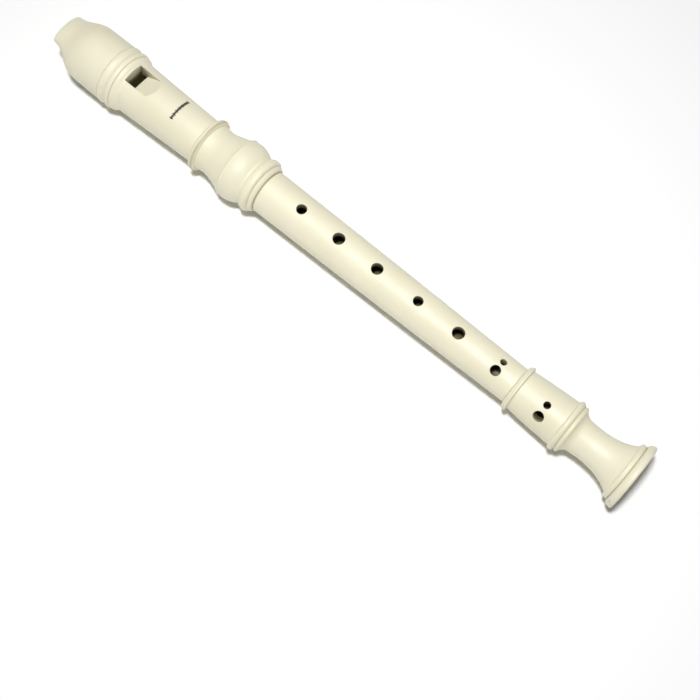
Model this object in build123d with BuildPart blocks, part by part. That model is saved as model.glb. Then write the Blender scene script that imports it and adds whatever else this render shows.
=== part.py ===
from build123d import *
from math import cos, radians, sin
import os

# Soprano recorder in three joints: head, body and foot.
# It lies along X, beak to the left and bell to the right, with its finger holes facing up.
# Sizes are in millimetres. "From the tip" is the distance along the bore from the beak's tip,
# and a turned outline is a list of points (distance from the tip, radius).

# Whole instrument
LENGTH = 320.5
RIM_RADIUS = 15.8  # the bell's rim, the widest ring, touches the ground
TIP_X = -LENGTH / 2
HEAD_TURN = 6.0  # how far the head is turned from the line of the finger holes, in degrees
FOOT_TURN = -24.0  # the foot is turned towards the right little finger

# Beak and head barrel
BEAK_SEAM = 31.6
BARREL_RADIUS = 14.15
TIP_ROUNDING = 1.2
SCOOP_END = 21.7  # where the hollow under the beak runs out
SCOOP_RISE = 0.3
SCOOP_DEPTH = 3.2  # how far the hollow's arc stands above its chord
SPIGOT_RADIUS = 10.5
SPIGOT_LENGTH = 6.0
PRESS_GAP = 0.05
EDGE_BREAK = 0.2
OVERRUN = 1.0  # how far a cutting shape runs past the surface it opens

# Windway, window and labium
WINDWAY_WIDTH = 10.4
ENTRY_FLOOR = 4.4
ENTRY_ROOF = 6.1
EXIT_FLOOR = 6.15
EXIT_ROOF = 7.15
BLOCK_START = 6.0
WINDOW_START = 41.6
LABIUM = 45.6
LABIUM_TOP = 6.8
LABIUM_UNDERSIDE = 6.6
RAMP_END = 56.8
RAMP_TOP = 12.3
CEILING_END = 52.5
CEILING_BLEND = 59.5

# Bores
HEAD_BORE_RADIUS = 7.0
BODY_BORE_TOP_RADIUS = 6.4
BODY_BORE_FOOT_RADIUS = 5.3
FOOT_BORE_RADIUS = 5.2
CHOKE_RADIUS = 4.9
CHOKE = 302.5
PEG_BORE_RADIUS = 5.5
PEG_BORE_START = 306.0
PEG_BORE_END = 318.0
BELL_MOUTH_RADIUS = 7.5

# Tenons and sockets
SOCKET_BOTTOM = 98.5
HEAD_END = 120.8
TENON_RADIUS = 8.75
TENON_START = 98.9
BODY_TOP = 120.95
BODY_END = 258.55
FOOT_TOP = 258.7
FOOT_TENON_RADIUS = 7.25
FOOT_TENON_END = 269.6
FOOT_SOCKET_BOTTOM = 270.0
TENON_CHAMFER = 0.5
RUNNING_GAP = 0.06

# Seal rings, one in a groove round each tenon
SEAL_WIRE_RADIUS = 0.48
GROOVE_DEPTH = 1.0
GROOVE_WIDTH = 1.1
GROOVE_GAP = 0.05
HEAD_SEAL = 104.5
FOOT_SEAL = 265.5

# Holes: distance from the tip, diameter and turn away from the top line
FINGER_HOLES = [(140.6, 4.7), (161.5, 5.5), (182.7, 5.3), (205.1, 4.5), (226.9, 5.6)]
RING_FINGER_PAIR = [(248.7, 4.65, -19.2), (249.2, 3.1, 15.6)]
LITTLE_FINGER_PAIR = [(274.4, 4.9, -18.3), (274.4, 3.2, 15.6)]
THUMB_HOLE = 129.0
THUMB_HOLE_DIAMETER = 5.4
UNDERSIDE = 180.0
SEAM_TURN = 90.0  # where turned faces close on themselves, clear of every hole
HOLE_ROUNDING = 0.25
HOLE_REACH = 20.0
BODY_RIMS_BEYOND = 8.0  # the holes' outer rims lie farther from the axis than this
FOOT_RIMS_BEYOND = 9.0

# Cross-sections of the beak: distance from the tip, half width, top, bottom
BEAK_SECTIONS = [
    (0.0, 8.5, 7.7, 0.7),
    (4.5, 9.15, 9.4, -1.9),
    (9.0, 11.7, 10.9, -6.4),
    (13.4, 13.8, 12.8, -11.6),
    (17.9, BARREL_RADIUS, 13.85, -13.65),
    (SCOOP_END, BARREL_RADIUS, BARREL_RADIUS, -BARREL_RADIUS),
]

# Head barrel, from the beak to the body: each turned feature is an arc through its start, crest and end
BEAK_BEAD = [(BEAK_SEAM + 0.25, 14.1), (32.4, 14.5), (33.3, 14.2)]
BEAD_VALLEY = [(33.3, 14.2), (34.3, 13.95), (35.6, 14.05)]
BARREL_BEAD = [(35.6, 14.05), (37.1, 14.5), (38.1, 14.1)]
BARREL_BEAD_GROOVE = (38.35, 13.65)
BARREL_LIP = [(38.65, 13.9), (39.8, 13.65), (40.7, 13.0)]
BARREL_COVE = [(40.7, 13.0), (41.5, 12.5), (43.5, 12.3)]
BARREL_FOOT = (84.8, 10.87)
BARREL_RING = [(84.9, 12.4), (86.4, 13.2), (87.9, 12.1)]
BULB_HOLLOW = [(87.95, 11.5), (91.6, 11.0), (96.6, 11.9)]
BULB_SHOULDER = [(96.6, 11.9), (100.0, 12.9), (102.7, 14.1)]
BULB_LIP = [(103.0, 14.55), (103.3, 14.15)]
BULB = [(103.3, 14.15), (107.0, 14.4), (112.5, 12.25)]
RING_COVE = [(112.5, 12.25), (113.2, 11.95), (113.9, 12.2)]
SOCKET_RING = [(113.9, 12.2), (115.3, 13.05), (117.0, 13.15)]
SOCKET_RING_BACK = [(117.0, 13.15), (117.8, 12.8), (118.15, 12.2)]
SOCKET_RING_GROOVE = (118.45, 11.65)
SOCKET_LIP = [(118.8, 11.9), (119.6, 11.5), (120.3, 10.8)]
SOCKET_RIM_RADIUS = 10.5

# Body tube: its taper between the sockets
BODY_TAPER = [(BODY_TOP, 10.28), (190.0, 9.58), (BODY_END, 8.62)]

# Foot joint, from its socket to the bell
FOOT_LIP = [(FOOT_TOP, 9.6), (259.15, 10.2), (260.0, 10.75)]
FOOT_RING = [(260.0, 10.75), (260.7, 11.0), (261.2, 10.65)]
FOOT_CONE = [(261.4, 9.65), (272.0, 10.47), (284.0, 11.05)]
TALL_BEAD = [(284.0, 11.05), (285.4, 12.4), (286.8, 11.45)]
LOW_BEAD = [(287.1, 11.05), (288.1, 11.35), (289.0, 10.75)]
WAIST_COVE = [(289.15, 10.25), (290.3, 9.0), (292.8, 8.15)]
FLARE = [(292.8, 8.15), (298.0, 7.86), (304.9, 8.42), (311.0, 10.25), (314.2, 12.15)]
BELL_BEAD = [(314.2, 12.15), (315.4, 13.75), (316.5, 13.5)]
RIM_GROOVE = [(316.5, 13.5), (316.7, 13.35), (316.9, 13.7)]
RIM_BACK = [(316.9, 13.7), (317.2, 14.7), (317.85, 15.25)]
RIM_ROUNDING = 0.9
RIM_CROWN = [(317.85, 15.25), (318.7, 15.66), (LENGTH - RIM_ROUNDING, RIM_RADIUS)]

BORE_AXIS = Axis((TIP_X, 0, RIM_RADIUS), (1, 0, 0))


def outward(turn):
    """Direction away from the bore, turned from straight up towards +Y."""
    return (0, sin(radians(turn)), cos(radians(turn)))


def lengthwise(turn):
    """Plane along the bore: first coordinate from the tip, second away from the axis."""
    up = outward(turn)
    return Plane(origin=(TIP_X, 0, RIM_RADIUS), x_dir=(1, 0, 0), z_dir=(0, -up[2], up[1]))


def across(distance, turn=0.0):
    """Plane square to the bore: first coordinate sideways, second up."""
    up = outward(turn)
    return Plane(origin=(TIP_X + distance, 0, RIM_RADIUS), x_dir=(0, up[2], -up[1]), z_dir=(1, 0, 0))


def facing(distance, turn=0.0):
    """Plane through the axis, facing outward, on which a hole's circle is drawn."""
    return Plane(origin=(TIP_X + distance, 0, RIM_RADIUS), x_dir=(1, 0, 0), z_dir=outward(turn))


def drill(distance, diameter, turn):
    """Cut one hole from the axis out through the wall."""
    with BuildSketch(facing(distance, turn)) as circle:
        Circle(diameter / 2)
    extrude(circle.sketch, amount=HOLE_REACH, mode=Mode.SUBTRACT)


def turn_solid(corners, mode=Mode.ADD):
    """Turn a straight-sided outline about the bore."""
    with BuildSketch(lengthwise(SEAM_TURN)) as outline:
        with BuildLine():
            Polyline(*corners, close=True)
        make_face()
    revolve(outline.sketch, axis=BORE_AXIS, mode=mode)


def turn_rod(start, end, radius, mode=Mode.ADD):
    """Turn a plain cylinder on the bore's axis."""
    turn_solid([(start, 0), (start, radius), (end, radius), (end, 0)], mode)


def cut_groove(middle, tenon_radius):
    """Cut the seal's square groove round a tenon."""
    with BuildSketch(lengthwise(SEAM_TURN)) as section:
        with Locations((middle, tenon_radius)):
            Rectangle(GROOVE_WIDTH, 2 * GROOVE_DEPTH)
    revolve(section.sketch, axis=BORE_AXIS, mode=Mode.SUBTRACT)


def round_hole_rims(part, clearance):
    """Soften the outer rims of the drilled holes, the edges that lie far from the axis."""
    rims = []
    for edge in part.edges().filter_by(GeomType.BSPLINE):
        middle = edge.center()
        if Vector(0, middle.Y, middle.Z - RIM_RADIUS).length > clearance:
            rims.append(edge)
    fillet(rims, HOLE_ROUNDING)


# The hollow under the beak, shared by the mouthpiece and the block
with BuildPart() as scoop:
    with BuildSketch(lengthwise(HEAD_TURN)):
        with BuildLine():
            hollow = SagittaArc((0, SCOOP_RISE), (SCOOP_END, -BARREL_RADIUS), SCOOP_DEPTH)
            Polyline(hollow @ 1, (SCOOP_END, -2 * BARREL_RADIUS), (-BARREL_RADIUS, -2 * BARREL_RADIUS),
                     (-BARREL_RADIUS, SCOOP_RISE), hollow @ 0)
        make_face()
    extrude(amount=2 * BARREL_RADIUS, both=True)

# The windway: a flat channel that narrows towards the window
with BuildPart() as windway:
    with BuildSketch(lengthwise(HEAD_TURN)):
        with BuildLine():
            Polyline((-OVERRUN, ENTRY_FLOOR), (WINDOW_START, EXIT_FLOOR), (WINDOW_START, EXIT_ROOF),
                     (-OVERRUN, ENTRY_ROOF), close=True)
        make_face()
    extrude(amount=WINDWAY_WIDTH / 2, both=True)


def block_shape(radius, width, start):
    """Round plug with flat sides and square shoulders, its top sloping as the windway's floor does."""
    with BuildSketch(across(start, HEAD_TURN)) as section:
        Circle(radius)
        Rectangle(width, 2 * radius, mode=Mode.INTERSECT)
        Rectangle(width, radius, align=(Align.CENTER, Align.MIN))
    extrude(section.sketch, amount=WINDOW_START - start)
    with BuildSketch(lengthwise(HEAD_TURN)) as below_floor:
        with BuildLine():
            Polyline((-OVERRUN, ENTRY_FLOOR), (WINDOW_START, EXIT_FLOOR), (WINDOW_START, -2 * radius),
                     (-OVERRUN, -2 * radius), close=True)
        make_face()
    extrude(below_floor.sketch, amount=2 * radius, both=True, mode=Mode.INTERSECT)


# The seat that the block is pressed into
with BuildPart() as block_seat:
    block_shape(HEAD_BORE_RADIUS, WINDWAY_WIDTH, BLOCK_START)

# Windway block, its underside flush with the hollow under the beak
with BuildPart() as windway_block:
    block_shape(HEAD_BORE_RADIUS - PRESS_GAP, WINDWAY_WIDTH - 2 * PRESS_GAP, BLOCK_START + PRESS_GAP)
    add(scoop.part, mode=Mode.SUBTRACT)
windway_block.part.label = "windway_block"

# Mouthpiece: the beak swells from a flattened tip to the round barrel
with BuildPart() as mouthpiece:
    for distance, half_width, top, bottom in BEAK_SECTIONS:
        with BuildSketch(across(distance, HEAD_TURN)):
            with Locations((0, (top + bottom) / 2)):
                Ellipse(half_width, (top - bottom) / 2)
    loft()
    fillet(mouthpiece.edges().group_by(Axis.X)[0], TIP_ROUNDING)
    turn_solid([(SCOOP_END, 0), (SCOOP_END, BARREL_RADIUS), (BEAK_SEAM - EDGE_BREAK, BARREL_RADIUS),
                (BEAK_SEAM, BARREL_RADIUS - EDGE_BREAK), (BEAK_SEAM, 0)])
    add(scoop.part, mode=Mode.SUBTRACT)
    add(block_seat.part, mode=Mode.SUBTRACT)
    add(windway.part, mode=Mode.SUBTRACT)
    turn_rod(BEAK_SEAM - SPIGOT_LENGTH - PRESS_GAP, BEAK_SEAM, SPIGOT_RADIUS + PRESS_GAP, Mode.SUBTRACT)
mouthpiece.part.label = "mouthpiece"

# The window with the labium's ramp, cut square-sided down through the barrel's wall
with BuildPart() as window:
    with BuildSketch(lengthwise(HEAD_TURN)):
        with BuildLine():
            Polyline((WINDOW_START, 0), (LABIUM, 0), (LABIUM, LABIUM_TOP),
                     (RAMP_END, RAMP_TOP), (RAMP_END, 2 * BARREL_RADIUS),
                     (WINDOW_START, 2 * BARREL_RADIUS), close=True)
        make_face()
    extrude(amount=WINDWAY_WIDTH / 2, both=True)

# The head's bore, with a flat ceiling under the labium that runs out into the round bore
with BuildPart() as head_bore:
    turn_rod(WINDOW_START, SOCKET_BOTTOM, HEAD_BORE_RADIUS)
    with BuildSketch(lengthwise(HEAD_TURN)) as under_ceiling:
        with BuildLine():
            Polyline((WINDOW_START, LABIUM_UNDERSIDE), (CEILING_END, LABIUM_UNDERSIDE),
                     (CEILING_BLEND, HEAD_BORE_RADIUS + OVERRUN),
                     (SOCKET_BOTTOM, HEAD_BORE_RADIUS + OVERRUN),
                     (SOCKET_BOTTOM, -HEAD_BORE_RADIUS - OVERRUN),
                     (WINDOW_START, -HEAD_BORE_RADIUS - OVERRUN), close=True)
        make_face()
    extrude(under_ceiling.sketch, amount=2 * HEAD_BORE_RADIUS, both=True, mode=Mode.INTERSECT)
    with BuildSketch(lengthwise(HEAD_TURN)) as under_labium:
        with BuildLine():
            Polyline((WINDOW_START, 0), (WINDOW_START, LABIUM_UNDERSIDE), (CEILING_END, LABIUM_UNDERSIDE),
                     (CEILING_BLEND, 0), close=True)
        make_face()
    extrude(under_labium.sketch, amount=WINDWAY_WIDTH / 2, both=True)

# Head barrel: two low beads and a lip, a tapering barrel, a ring, a hollow, the bulb that holds the socket,
# and the grooved ring at its mouth
with BuildPart() as head_barrel:
    with BuildSketch(lengthwise(SEAM_TURN)):
        with BuildLine():
            Polyline((BEAK_SEAM - SPIGOT_LENGTH, 0), (BEAK_SEAM - SPIGOT_LENGTH, SPIGOT_RADIUS),
                     (BEAK_SEAM, SPIGOT_RADIUS), (BEAK_SEAM, BARREL_RADIUS - EDGE_BREAK), BEAK_BEAD[0])
            ThreePointArc(*BEAK_BEAD)
            ThreePointArc(*BEAD_VALLEY)
            ThreePointArc(*BARREL_BEAD)
            Polyline(BARREL_BEAD[-1], BARREL_BEAD_GROOVE, BARREL_LIP[0])
            ThreePointArc(*BARREL_LIP)
            ThreePointArc(*BARREL_COVE)
            Polyline(BARREL_COVE[-1], BARREL_FOOT, BARREL_RING[0])
            ThreePointArc(*BARREL_RING)
            Line(BARREL_RING[-1], BULB_HOLLOW[0])
            ThreePointArc(*BULB_HOLLOW)
            ThreePointArc(*BULB_SHOULDER)
            Polyline(BULB_SHOULDER[-1], *BULB_LIP)
            ThreePointArc(*BULB)
            ThreePointArc(*RING_COVE)
            ThreePointArc(*SOCKET_RING)
            ThreePointArc(*SOCKET_RING_BACK)
            Polyline(SOCKET_RING_BACK[-1], SOCKET_RING_GROOVE, SOCKET_LIP[0])
            ThreePointArc(*SOCKET_LIP)
            Polyline(SOCKET_LIP[-1], (HEAD_END, SOCKET_RIM_RADIUS), (HEAD_END, 0),
                     (BEAK_SEAM - SPIGOT_LENGTH, 0))
        make_face()
    revolve(axis=BORE_AXIS)
    add(block_seat.part, mode=Mode.SUBTRACT)
    add(windway.part, mode=Mode.SUBTRACT)
    add(window.part, mode=Mode.SUBTRACT)
    add(head_bore.part, mode=Mode.SUBTRACT)
    turn_rod(SOCKET_BOTTOM, HEAD_END, TENON_RADIUS + RUNNING_GAP, Mode.SUBTRACT)
head_barrel.part.label = "head_barrel"

# Body tube: a slim waisted taper between two tenons, with six front hole positions and the thumb hole
with BuildPart() as body_tube:
    with BuildSketch(lengthwise(SEAM_TURN)):
        with BuildLine():
            Polyline(BODY_TAPER[0], (BODY_TOP, TENON_RADIUS), (TENON_START + TENON_CHAMFER, TENON_RADIUS),
                     (TENON_START, TENON_RADIUS - TENON_CHAMFER), (TENON_START, 0), (FOOT_TENON_END, 0),
                     (FOOT_TENON_END, FOOT_TENON_RADIUS - TENON_CHAMFER),
                     (FOOT_TENON_END - TENON_CHAMFER, FOOT_TENON_RADIUS), (BODY_END, FOOT_TENON_RADIUS),
                     BODY_TAPER[-1])
            Spline(*BODY_TAPER)
        make_face()
    revolve(axis=BORE_AXIS)
    for distance, diameter in FINGER_HOLES:
        drill(distance, diameter, 0)
    for distance, diameter, turn in RING_FINGER_PAIR:
        drill(distance, diameter, turn)
    drill(THUMB_HOLE, THUMB_HOLE_DIAMETER, UNDERSIDE)
    turn_solid([(TENON_START, 0), (TENON_START, BODY_BORE_TOP_RADIUS),
                (FOOT_TENON_END, BODY_BORE_FOOT_RADIUS), (FOOT_TENON_END, 0)], Mode.SUBTRACT)
    cut_groove(HEAD_SEAL, TENON_RADIUS)
    cut_groove(FOOT_SEAL, FOOT_TENON_RADIUS)
    round_hole_rims(body_tube.part, BODY_RIMS_BEYOND)
body_tube.part.label = "body_tube"

# Foot joint: socket ring, hole pair, two beads, a narrow waist and the flared bell
with BuildPart() as foot_joint:
    with BuildSketch(lengthwise(SEAM_TURN)):
        with BuildLine():
            Line((FOOT_TOP, 0), FOOT_LIP[0])
            ThreePointArc(*FOOT_LIP)
            ThreePointArc(*FOOT_RING)
            Line(FOOT_RING[-1], FOOT_CONE[0])
            ThreePointArc(*FOOT_CONE)
            ThreePointArc(*TALL_BEAD)
            Line(TALL_BEAD[-1], LOW_BEAD[0])
            ThreePointArc(*LOW_BEAD)
            Line(LOW_BEAD[-1], WAIST_COVE[0])
            ThreePointArc(*WAIST_COVE)
            Spline(*FLARE)
            ThreePointArc(*BELL_BEAD)
            Polyline(*RIM_GROOVE)
            ThreePointArc(*RIM_BACK)
            ThreePointArc(*RIM_CROWN)
            rim_front = JernArc(RIM_CROWN[-1], (1, 0), RIM_ROUNDING, -90)
            Polyline(rim_front @ 1, (LENGTH, 0), (FOOT_TOP, 0))
        make_face()
    revolve(axis=BORE_AXIS)
    for distance, diameter, turn in LITTLE_FINGER_PAIR:
        drill(distance, diameter, FOOT_TURN + turn)
    turn_solid([(FOOT_TOP, 0), (FOOT_TOP, FOOT_TENON_RADIUS + RUNNING_GAP),
                (FOOT_SOCKET_BOTTOM, FOOT_TENON_RADIUS + RUNNING_GAP),
                (FOOT_SOCKET_BOTTOM, FOOT_BORE_RADIUS),
                (CHOKE, CHOKE_RADIUS), (PEG_BORE_START, PEG_BORE_RADIUS), (PEG_BORE_END, PEG_BORE_RADIUS),
                (LENGTH, BELL_MOUTH_RADIUS), (LENGTH, 0)], Mode.SUBTRACT)
    round_hole_rims(foot_joint.part, FOOT_RIMS_BEYOND)
foot_joint.part.label = "foot_joint"


def seal_ring(middle, tenon_radius):
    """Turn the round section of a seal ring that sits in a tenon's groove."""
    centre_radius = tenon_radius - GROOVE_DEPTH + GROOVE_GAP + SEAL_WIRE_RADIUS
    with BuildSketch(lengthwise(SEAM_TURN)) as section:
        with Locations((middle, centre_radius)):
            Circle(SEAL_WIRE_RADIUS)
    revolve(section.sketch, axis=BORE_AXIS)


with BuildPart() as head_tenon_seal:
    seal_ring(HEAD_SEAL, TENON_RADIUS)
head_tenon_seal.part.label = "head_tenon_seal"

with BuildPart() as foot_tenon_seal:
    seal_ring(FOOT_SEAL, FOOT_TENON_RADIUS)
foot_tenon_seal.part.label = "foot_tenon_seal"

os.makedirs("parts", exist_ok=True)
pieces = [mouthpiece, windway_block, head_barrel, head_tenon_seal, body_tube, foot_tenon_seal, foot_joint]
for piece in pieces:
    export_step(piece.part, f"parts/{piece.part.label}.step")
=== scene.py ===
import math

import bmesh
import bpy
from mathutils import Matrix, Vector
from mathutils.bvhtree import BVHTree


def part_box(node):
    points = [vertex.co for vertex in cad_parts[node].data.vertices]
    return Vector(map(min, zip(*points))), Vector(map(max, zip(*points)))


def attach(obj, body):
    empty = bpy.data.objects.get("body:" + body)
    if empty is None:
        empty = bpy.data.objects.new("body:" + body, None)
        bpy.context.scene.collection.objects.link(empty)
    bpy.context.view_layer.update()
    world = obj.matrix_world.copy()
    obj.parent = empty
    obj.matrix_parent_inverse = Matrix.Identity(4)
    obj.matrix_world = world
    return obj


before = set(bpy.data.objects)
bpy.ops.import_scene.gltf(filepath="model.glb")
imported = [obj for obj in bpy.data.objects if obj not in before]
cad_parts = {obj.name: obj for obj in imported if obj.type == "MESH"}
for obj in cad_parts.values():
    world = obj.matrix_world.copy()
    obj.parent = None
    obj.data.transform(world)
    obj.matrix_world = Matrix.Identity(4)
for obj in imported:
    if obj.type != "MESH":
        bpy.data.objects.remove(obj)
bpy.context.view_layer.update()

MM = 0.001

# Places along the instrument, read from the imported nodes
TIP_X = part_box("mouthpiece")[0][0]
BORE_HEIGHT = (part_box("body_tube")[0][2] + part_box("body_tube")[1][2]) / 2

# Camera: above the foot, a little to the player's right, looking back towards the head
CAMERA_PLACE = (0.13235, -0.1685, 0.5403)
CAMERA_TARGET = (0.03504, -0.03289, 0.01587)
CAMERA_ROLL = 4.32
CAMERA_LENS = 66.86
CAMERA_SENSOR = 36.0
CAMERA_NEAR = 0.01

# Studio light
FLOOR_REACH = 3.0
FLOOR_SHADE = 0.97
FLOOR_ROUGHNESS = 0.9
SKY_STRENGTH = 0.125
KEY_PLACE = (0.048, -0.1345, 0.897)
KEY_SIZE = 0.09
KEY_POWER = 3.55
KEY_SPREAD = 130.0
FILL_PLACE = (-0.20, 0.05, 1.20)
FILL_SIZE = 0.70
FILL_POWER = 2.3
FILL_SPREAD = 180.0

# Sockets of a Mix node that mixes colours
MIX_SHARE, MIX_ONE, MIX_OTHER = 0, 6, 7
MIX_RESULT = 2

# A noise is a number of features per metre and a depth of detail. A ramp is where it starts, its first
# colour, where it ends and its last colour.
WHITE = (1, 1, 1)

# Cream plastic; its glow is the light that spreads under the surface
MOTTLE_NOISE = (45, 4)
MOTTLE_RAMP = (0.3, (0.79, 0.75, 0.56), 0.7, (0.83, 0.79, 0.61))
PLASTIC_GLOSS_NOISE = (220, 5)
PLASTIC_ROUGHNESS = (0.40, 0.54)
PLASTIC_RELIEF_NOISE = (900, 3)
PLASTIC_RELIEF_STRENGTH = 0.12
PLASTIC_RELIEF_DEPTH = 0.05 * MM
PLASTIC_IOR = 1.5
GLOW = 0.12
GLOW_RADIUS = (1.0, 0.8, 0.5)
GLOW_SCALE = 1.5 * MM

# Painted shade in the seams and painted shade deep in the bores and holes: how far round itself the surface
# looks, and its colours
OPENNESS_SAMPLES = 12
SEAM_SHADE_REACH = 1.2 * MM
SEAM_SHADE_RAMP = (0.15, (0.45, 0.40, 0.28), 0.75, WHITE)
BORE_SHADE_REACH = 25 * MM
BORE_SHADE_COLOUR = (0.14, 0.12, 0.06)
TUBE_SHUT, TUBE_OPEN = 0.12, 0.46
BLOCK_SHUT, BLOCK_OPEN = 0.35, 0.80

# Lines of painted shade, as distances from the tip: on the barrel's ring and at the head's joint with the
# body
SHADE_LINES = (87.0 * MM, 120.85 * MM)
SHADE_LINE_DARK = 0.30 * MM
SHADE_LINE_CLEAR = 0.75 * MM
SHADE_LINE_RAMP = (0.0, (0.70, 0.68, 0.60), 1.0, WHITE)

# Rubber of the seals
BLOOM_NOISE = (700, 2)
BLOOM_RAMP = (0.3, (0.018, 0.018, 0.019), 0.8, (0.05, 0.05, 0.05))
RUBBER_GLOSS_NOISE = (1500, 2)
RUBBER_ROUGHNESS = (0.55, 0.72)
RUBBER_RELIEF_NOISE = (2500, 2)
RUBBER_RELIEF_STRENGTH = 0.2
RUBBER_RELIEF_DEPTH = 0.03 * MM

# Ink of the ornament
WEAR_NOISE = (1800, 4)
WEAR_RAMP = (0.35, (0.030, 0.022, 0.016), 0.80, (0.11, 0.085, 0.06))
INK_GLOSS_NOISE = (1200, 3)
INK_ROUGHNESS = (0.38, 0.55)

# Printed ornament round the top of the barrel: how far from the tip, and how it is spread out
ORNAMENT_PLACE = 69.1 * MM
ORNAMENT_TURN = 7.0
ORNAMENT_SPREAD = 28.5
ORNAMENT_MARKS = 13
LOZENGE_SIZE = (0.98 * MM, 0.54 * MM)
LOZENGE_ROUNDNESS = 1.35
DOT_SIZE = (0.66 * MM, 0.46 * MM)
DOT_ROUNDNESS = 2.0
INK_HEIGHT = 0.03 * MM
INK_ROOT = 0.04 * MM
MARK_RINGS = 4
MARK_CORNERS = 40

# Moulding gate's mark on the bell's rim: a small raised ring on the lower side
GATE_FROM_END = 1.85 * MM
GATE_TURN = -76.0
GATE_RADIUS = 0.95 * MM
GATE_WIRE = 0.13 * MM
GATE_STEPS = 48
WIRE_STEPS = 12


def make_camera():
    """Camera at the studied viewing angle, with no depth of field and no shift."""
    camera = bpy.data.objects.new("camera", bpy.data.cameras.new("camera"))
    bpy.context.scene.collection.objects.link(camera)
    place = Vector(CAMERA_PLACE)
    aim = (Vector(CAMERA_TARGET) - place).to_track_quat("-Z", "Y").to_matrix().to_4x4()
    roll = Matrix.Rotation(math.radians(CAMERA_ROLL), 4, "Z")
    camera.matrix_world = Matrix.Translation(place) @ aim @ roll
    camera.data.lens = CAMERA_LENS
    camera.data.sensor_width = CAMERA_SENSOR
    camera.data.clip_start = CAMERA_NEAR
    bpy.context.scene.camera = camera


def make_light(name, place, size, power, spread):
    """One square softbox that faces the middle of the floor; a narrower spread dims it towards the sides."""
    data = bpy.data.lights.new(name, "AREA")
    data.shape = "SQUARE"
    data.size = size
    data.energy = power
    data.spread = math.radians(spread)
    light = bpy.data.objects.new(name, data)
    bpy.context.scene.collection.objects.link(light)
    light.location = place
    light.rotation_euler = (-Vector(place)).to_track_quat("-Z", "Y").to_euler()


def make_floor():
    """Plain pale floor."""
    mesh = bpy.data.meshes.new("floor")
    corners = [(-FLOOR_REACH, -FLOOR_REACH, 0), (FLOOR_REACH, -FLOOR_REACH, 0),
               (FLOOR_REACH, FLOOR_REACH, 0), (-FLOOR_REACH, FLOOR_REACH, 0)]
    mesh.from_pydata(corners, [], [(0, 1, 2, 3)])
    floor = bpy.data.objects.new("floor", mesh)
    bpy.context.scene.collection.objects.link(floor)
    paper = bpy.data.materials.new("paper")
    paper.use_nodes = True
    shader = paper.node_tree.nodes["Principled BSDF"]
    shader.inputs["Base Color"].default_value = (FLOOR_SHADE, FLOOR_SHADE, FLOOR_SHADE, 1)
    shader.inputs["Roughness"].default_value = FLOOR_ROUGHNESS
    shader.inputs["Specular IOR Level"].default_value = 0.0
    mesh.materials.append(paper)


def make_sky():
    """Even white light from every side."""
    world = bpy.data.worlds.new("studio")
    world.use_nodes = True
    background = world.node_tree.nodes["Background"]
    background.inputs["Color"].default_value = (1, 1, 1, 1)
    background.inputs["Strength"].default_value = SKY_STRENGTH
    bpy.context.scene.world = world
    bpy.context.scene.view_settings.view_transform = "Standard"


def start_material(name):
    """A new node material: its tree, its shader and the object's own coordinates."""
    material = bpy.data.materials.new(name)
    material.use_nodes = True
    tree = material.node_tree
    place = tree.nodes.new("ShaderNodeTexCoord").outputs["Object"]
    return material, tree, tree.nodes["Principled BSDF"], place


def add_noise(tree, place, scale, detail):
    """Noise of one grain size, given in features per metre."""
    noise = tree.nodes.new("ShaderNodeTexNoise")
    noise.inputs["Scale"].default_value = scale
    noise.inputs["Detail"].default_value = detail
    tree.links.new(place, noise.inputs["Vector"])
    return noise.outputs["Fac"]


def add_ramp(tree, factor, start, start_colour, end, end_colour):
    """Colour that runs from one to another as the factor goes from start to end."""
    ramp = tree.nodes.new("ShaderNodeValToRGB")
    first, last = ramp.color_ramp.elements
    first.position, last.position = start, end
    first.color, last.color = (*start_colour, 1), (*end_colour, 1)
    tree.links.new(factor, ramp.inputs["Fac"])
    return ramp.outputs["Color"]


def add_openness(tree, reach, only_own):
    """How open the surface is within a reach: 1 in the open, 0 deep in a hole.

    When only_own is True, the other pieces round it don't count."""
    openness = tree.nodes.new("ShaderNodeAmbientOcclusion")
    openness.samples = OPENNESS_SAMPLES
    openness.only_local = only_own
    openness.inputs["Distance"].default_value = reach
    return openness.outputs["AO"]


def multiply(tree, one, other):
    """One colour times another."""
    mix = tree.nodes.new("ShaderNodeMix")
    mix.data_type = "RGBA"
    mix.blend_type = "MULTIPLY"
    mix.inputs[MIX_SHARE].default_value = 1.0
    tree.links.new(one, mix.inputs[MIX_ONE])
    tree.links.new(other, mix.inputs[MIX_OTHER])
    return mix.outputs[MIX_RESULT]


def add_bump(tree, shader, height, strength, depth):
    """Relief in the surface's normal."""
    bump = tree.nodes.new("ShaderNodeBump")
    bump.inputs["Strength"].default_value = strength
    bump.inputs["Distance"].default_value = depth
    tree.links.new(height, bump.inputs["Height"])
    tree.links.new(bump.outputs["Normal"], shader.inputs["Normal"])


def add_roughness(tree, shader, factor, low, high):
    """Roughness that varies between two values."""
    span = tree.nodes.new("ShaderNodeMapRange")
    span.inputs["To Min"].default_value = low
    span.inputs["To Max"].default_value = high
    tree.links.new(factor, span.inputs["Value"])
    tree.links.new(span.outputs["Result"], shader.inputs["Roughness"])


def add_shade_line(tree, place, line):
    """Painted shade: colour that darkens in a narrow band round the instrument, the line given as a place
    along X.
    """
    parts = tree.nodes.new("ShaderNodeSeparateXYZ")
    tree.links.new(place, parts.inputs["Vector"])
    offset = tree.nodes.new("ShaderNodeMath")
    offset.operation = "SUBTRACT"
    offset.inputs[1].default_value = line
    tree.links.new(parts.outputs["X"], offset.inputs[0])
    distance = tree.nodes.new("ShaderNodeMath")
    distance.operation = "ABSOLUTE"
    tree.links.new(offset.outputs[0], distance.inputs[0])
    share = tree.nodes.new("ShaderNodeMapRange")
    share.inputs["From Min"].default_value = SHADE_LINE_DARK
    share.inputs["From Max"].default_value = SHADE_LINE_CLEAR
    tree.links.new(distance.outputs[0], share.inputs["Value"])
    return add_ramp(tree, share.outputs["Result"], *SHADE_LINE_RAMP)


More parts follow.
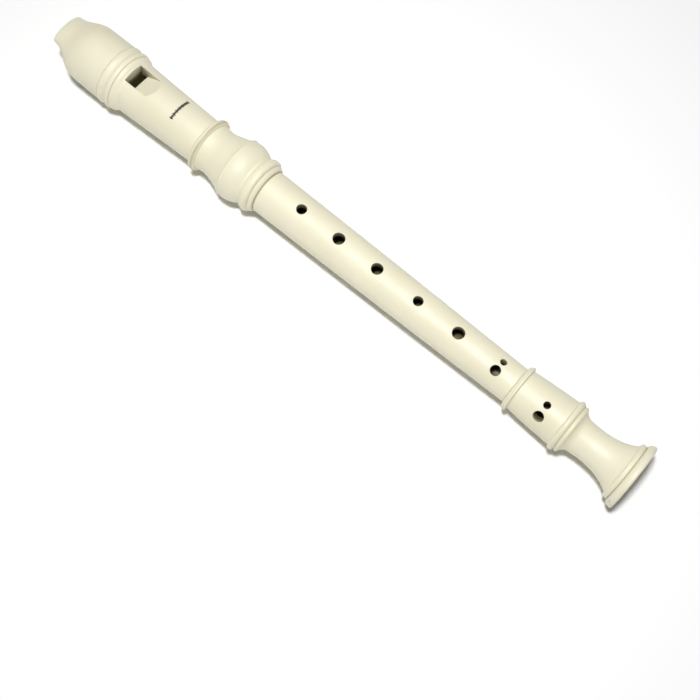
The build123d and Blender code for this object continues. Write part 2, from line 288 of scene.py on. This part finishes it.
def moulded_plastic(name, only_own, shut, open_air):
    """Cream ABS: faint mottling, painted shade along the seam lines and round the joints, fine moulded
    grain, and painted shade deep in the bore and holes.

    Its painted shade is darkest where the openness is below shut and clear above open_air. When only_own is
    False, the pieces round it shut it in too."""
    material, tree, shader, place = start_material(name)
    mottle = add_ramp(tree, add_noise(tree, place, *MOTTLE_NOISE), *MOTTLE_RAMP)
    # painted shade: the colour darkens in narrow seams and creases, where little of the surroundings is open
    seam_shade = add_ramp(tree, add_openness(tree, SEAM_SHADE_REACH, False), *SEAM_SHADE_RAMP)
    bore_openness = add_openness(tree, BORE_SHADE_REACH, only_own)
    # painted shade: the colour goes dark deep in the bore and the finger holes
    bore_shade = add_ramp(tree, bore_openness, shut, BORE_SHADE_COLOUR, open_air, WHITE)
    colour = multiply(tree, multiply(tree, mottle, seam_shade), bore_shade)
    # painted shade: darker bands round the barrel's ring and at the head's joint
    for line in SHADE_LINES:
        colour = multiply(tree, colour, add_shade_line(tree, place, TIP_X + line))
    tree.links.new(colour, shader.inputs["Base Color"])
    add_roughness(tree, shader, add_noise(tree, place, *PLASTIC_GLOSS_NOISE), *PLASTIC_ROUGHNESS)
    relief = add_noise(tree, place, *PLASTIC_RELIEF_NOISE)
    add_bump(tree, shader, relief, PLASTIC_RELIEF_STRENGTH, PLASTIC_RELIEF_DEPTH)
    shader.inputs["IOR"].default_value = PLASTIC_IOR
    shader.inputs["Subsurface Weight"].default_value = GLOW
    shader.inputs["Subsurface Radius"].default_value = GLOW_RADIUS
    shader.inputs["Subsurface Scale"].default_value = GLOW_SCALE
    return material


def seal_rubber():
    """Matt black rubber with a dusty bloom."""
    material, tree, shader, place = start_material("seal_rubber")
    bloom = add_ramp(tree, add_noise(tree, place, *BLOOM_NOISE), *BLOOM_RAMP)
    tree.links.new(bloom, shader.inputs["Base Color"])
    add_roughness(tree, shader, add_noise(tree, place, *RUBBER_GLOSS_NOISE), *RUBBER_ROUGHNESS)
    relief = add_noise(tree, place, *RUBBER_RELIEF_NOISE)
    add_bump(tree, shader, relief, RUBBER_RELIEF_STRENGTH, RUBBER_RELIEF_DEPTH)
    return material


def printed_ink():
    """Dark brown pad-printed ink, a little worn."""
    material, tree, shader, place = start_material("printed_ink")
    worn = add_ramp(tree, add_noise(tree, place, *WEAR_NOISE), *WEAR_RAMP)
    tree.links.new(worn, shader.inputs["Base Color"])
    add_roughness(tree, shader, add_noise(tree, place, *INK_GLOSS_NOISE), *INK_ROUGHNESS)
    return material


def dress(node, material):
    """Give a CAD node its material in every slot."""
    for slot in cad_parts[node].material_slots:
        slot.material = material


def surface_of(node):
    """A CAD node's surface, ready to be struck by rays."""
    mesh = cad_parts[node].data
    faces = [tuple(polygon.vertices) for polygon in mesh.polygons]
    return BVHTree.FromPolygons([vertex.co for vertex in mesh.vertices], faces)


def outside_radius(surface, x):
    """Radius of a turned surface, measured on its plain underside."""
    below = surface.ray_cast(Vector((x, 0, -MM)), Vector((0, 0, 1)))[0]
    return BORE_HEIGHT - below.z


def add_piece(name, shape, material, body):
    """Turn a bmesh into a piece that rides on a body."""
    bmesh.ops.recalc_face_normals(shape, faces=shape.faces)
    mesh = bpy.data.meshes.new(name)
    shape.to_mesh(mesh)
    shape.free()
    mesh.materials.append(material)
    piece = bpy.data.objects.new(name, mesh)
    bpy.context.scene.collection.objects.link(piece)
    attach(piece, body)


def on_barrel(barrel, x, around, lift):
    """Point above or below the barrel's surface, around given in radians from the top towards +Y."""
    radius = outside_radius(barrel, x) + lift
    return Vector((x, radius * math.sin(around), BORE_HEIGHT + radius * math.cos(around)))


def wrap_mark(name, barrel, turn, half_size, roundness, ink):
    """One printed mark: a thin closed patch that follows the barrel.

    A roundness of 1 is a lozenge with straight sides, and 2 is an ellipse."""
    middle_x = TIP_X + ORNAMENT_PLACE
    middle_turn = math.radians(turn)
    radius = outside_radius(barrel, middle_x)
    shape = bmesh.new()

    def ring_of(share, lift):
        ring = []
        for corner in range(MARK_CORNERS):
            angle = 2 * math.pi * corner / MARK_CORNERS
            along, round_it = math.cos(angle), math.sin(angle)
            reach = (abs(along) ** roundness + abs(round_it) ** roundness) ** (-1 / roundness)
            x = middle_x + share * reach * along * half_size[0]
            around = middle_turn + share * reach * round_it * half_size[1] / radius
            ring.append(shape.verts.new(on_barrel(barrel, x, around, lift)))
        return ring

    def join(inner, outer):
        for corner in range(MARK_CORNERS):
            after = (corner + 1) % MARK_CORNERS
            shape.faces.new((inner[corner], outer[corner], outer[after], inner[after]))

    def cap(rings, lift):
        hub = shape.verts.new(on_barrel(barrel, middle_x, middle_turn, lift))
        for corner in range(MARK_CORNERS):
            shape.faces.new((hub, rings[0][corner], rings[0][(corner + 1) % MARK_CORNERS]))
        for inner, outer in zip(rings, rings[1:]):
            join(inner, outer)

    shares = [(step + 1) / MARK_RINGS for step in range(MARK_RINGS)]
    top = [ring_of(share, INK_HEIGHT) for share in shares]
    bottom = [ring_of(share, -INK_ROOT) for share in shares]
    cap(top, INK_HEIGHT)
    cap(bottom, -INK_ROOT)
    join(top[-1], bottom[-1])
    add_piece(name, shape, ink, "head")


def print_ornament(ink):
    """A row of lozenges with dots between them, round the top of the barrel."""
    barrel = surface_of("head_barrel")
    step = 2 * ORNAMENT_SPREAD / (ORNAMENT_MARKS - 1)
    for number in range(ORNAMENT_MARKS):
        turn = ORNAMENT_TURN - ORNAMENT_SPREAD + number * step
        pair = number // 2 + 1
        if number % 2 == 0:
            wrap_mark(f"ornament_lozenge_{pair}", barrel, turn, LOZENGE_SIZE, LOZENGE_ROUNDNESS, ink)
        else:
            wrap_mark(f"ornament_dot_{pair}", barrel, turn, DOT_SIZE, DOT_ROUNDNESS, ink)


def mould_gate_mark(plastic):
    """Small raised ring on the bell's rim, half sunk in its surface."""
    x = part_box("foot_joint")[1][0] - GATE_FROM_END
    turn = math.radians(GATE_TURN)
    out = Vector((0, math.sin(turn), math.cos(turn)))
    around = Vector((0, math.cos(turn), -math.sin(turn)))
    along = Vector((1, 0, 0))
    centre = Vector((x, 0, BORE_HEIGHT)) + out * outside_radius(surface_of("foot_joint"), x)
    shape = bmesh.new()
    rings = []
    for step in range(GATE_STEPS):
        angle = 2 * math.pi * step / GATE_STEPS
        spoke = along * math.cos(angle) + around * math.sin(angle)
        ring = []
        for turned in range(WIRE_STEPS):
            wire = 2 * math.pi * turned / WIRE_STEPS
            reach = GATE_RADIUS + GATE_WIRE * math.cos(wire)
            ring.append(shape.verts.new(centre + spoke * reach + out * GATE_WIRE * math.sin(wire)))
        rings.append(ring)
    for step in range(GATE_STEPS):
        ring, after = rings[step], rings[(step + 1) % GATE_STEPS]
        for turned in range(WIRE_STEPS):
            beside = (turned + 1) % WIRE_STEPS
            shape.faces.new((ring[turned], ring[beside], after[beside], after[turned]))
    add_piece("gate_mark", shape, plastic, "foot")


make_camera()
make_floor()
make_sky()
make_light("key", KEY_PLACE, KEY_SIZE, KEY_POWER, KEY_SPREAD)
make_light("fill", FILL_PLACE, FILL_SIZE, FILL_POWER, FILL_SPREAD)
plastic = moulded_plastic("moulded_plastic", True, TUBE_SHUT, TUBE_OPEN)
rubber = seal_rubber()
for node in ("mouthpiece", "head_barrel", "body_tube", "foot_joint"):
    dress(node, plastic)
# the windway block's painted shade counts the pieces round it, so it darkens where the head closes round it
dress("windway_block", moulded_plastic("enclosed_plastic", False, BLOCK_SHUT, BLOCK_OPEN))
for node in ("head_tenon_seal", "foot_tenon_seal"):
    dress(node, rubber)
print_ornament(printed_ink())
mould_gate_mark(plastic)
